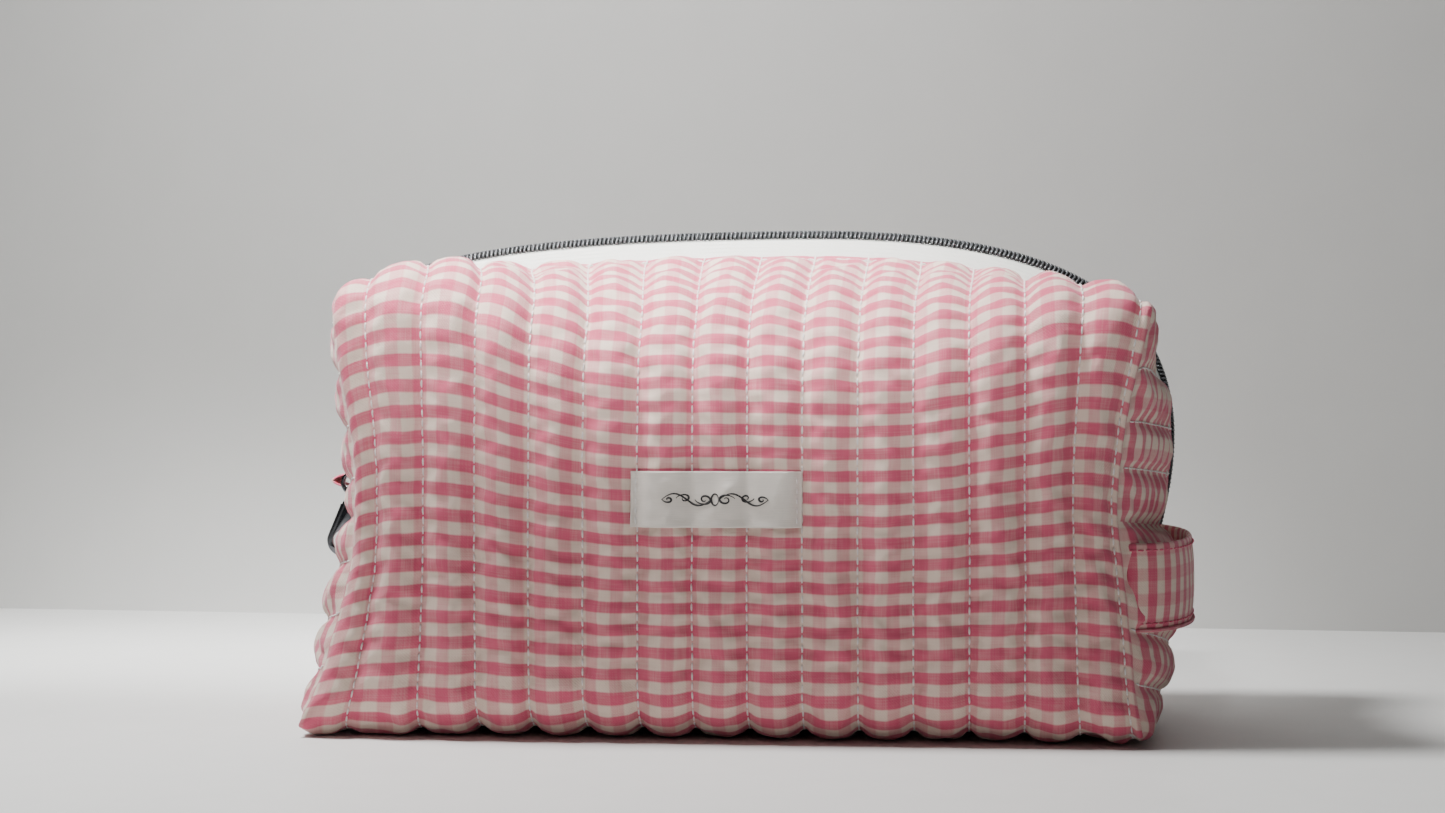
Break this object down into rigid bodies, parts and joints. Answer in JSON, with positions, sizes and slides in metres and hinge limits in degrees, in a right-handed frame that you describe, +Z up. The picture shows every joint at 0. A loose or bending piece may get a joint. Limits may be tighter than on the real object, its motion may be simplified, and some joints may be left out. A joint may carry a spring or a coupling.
{
  "type": "makeup bag",
  "caption": "Quilted gingham box pouch with a zip over the top and down both ends, a side carry strap and a small satin label.",
  "frame": {"origin": "on the surface that the bag stands on, under the middle of the padded body", "axes": "+X along the length towards the carry strap, -Y out of the front panel with the label, +Z up"},
  "size_m": [0.2858, 0.1245, 0.1586],
  "materials": {
    "gingham": "matt woven cotton, pink and white checks",
    "wadding": "lofty polyester wadding",
    "lining": "plain matt cotton",
    "zip_tape": "white woven tape",
    "zip_coil": "grey metallised coil",
    "dark_chrome": "polished",
    "label_satin": "satin with a soft sheen"
  },
  "bodies": {
    "bag_body": {"front_cover": "gingham", "back_cover": "gingham", "base_cover": "gingham", "left_end_cover": "gingham", "right_end_cover": "gingham", "front_wadding": "wadding", "back_wadding": "wadding", "base_wadding": "wadding", "left_end_wadding": "wadding", "right_end_wadding": "wadding", "front_lining": "lining", "back_lining": "lining", "base_lining": "lining", "left_end_lining": "lining", "right_end_lining": "lining", "front_left_binding": "lining", "front_right_binding": "lining", "back_left_binding": "lining", "back_right_binding": "lining", "left_front_tape": "zip_tape", "left_back_tape": "zip_tape", "right_front_tape": "zip_tape", "right_back_tape": "zip_tape", "left_front_coil": "zip_coil", "left_back_coil": "zip_coil", "right_front_coil": "zip_coil", "right_back_coil": "zip_coil", "front_label": "label_satin", "handle_strap": "gingham"},
    "front_mouth": {"front_top_cover": "gingham", "front_top_wadding": "wadding", "front_top_lining": "lining", "front_top_tape": "zip_tape", "front_top_coil": "zip_coil"},
    "back_mouth": {"back_top_cover": "gingham", "back_top_wadding": "wadding", "back_top_lining": "lining", "back_top_tape": "zip_tape", "back_top_coil": "zip_coil"},
    "slider": {"slider_body": "dark_chrome", "slider_crown": "dark_chrome"},
    "pull_link": {"pull_link": "dark_chrome"},
    "pull_tab": {"pull_tab": "dark_chrome"},
    "end_tab": {"zip_end_tab": "gingham"}
  },
  "joints": [
    {"name": "front_mouth_open", "type": "hinge", "parent": "bag_body", "child": "front_mouth", "pos_m": [0, -0.03279, 0.14174], "axis": [1, 0, 0], "range_deg": [0, 70]},
    {"name": "back_mouth_open", "type": "hinge", "parent": "bag_body", "child": "back_mouth", "pos_m": [0, 0.03279, 0.14174], "axis": [-1, 0, 0], "range_deg": [0, 70]},
    {"name": "slider_travel", "type": "slide", "parent": "bag_body", "child": "slider", "axis": [0, 0, 1], "range_m": [0, 0.045]},
    {"name": "link_swing", "type": "hinge", "parent": "slider", "child": "pull_link", "pos_m": [-0.1355, 0, 0.07514], "axis": [0, 1, 0], "range_deg": [0, 140]},
    {"name": "pull_swing", "type": "hinge", "parent": "pull_link", "child": "pull_tab", "pos_m": [-0.1355, 0, 0.06914], "axis": [0, -1, 0], "range_deg": [-100, 0]},
    {"name": "end_tab_bend", "type": "hinge", "parent": "bag_body", "child": "end_tab", "pos_m": [-0.1318, 0, 0.077], "axis": [0, 1, 0], "range_deg": [-60, 60], "stiffness_Nm_per_rad": 0.001}
  ]
}
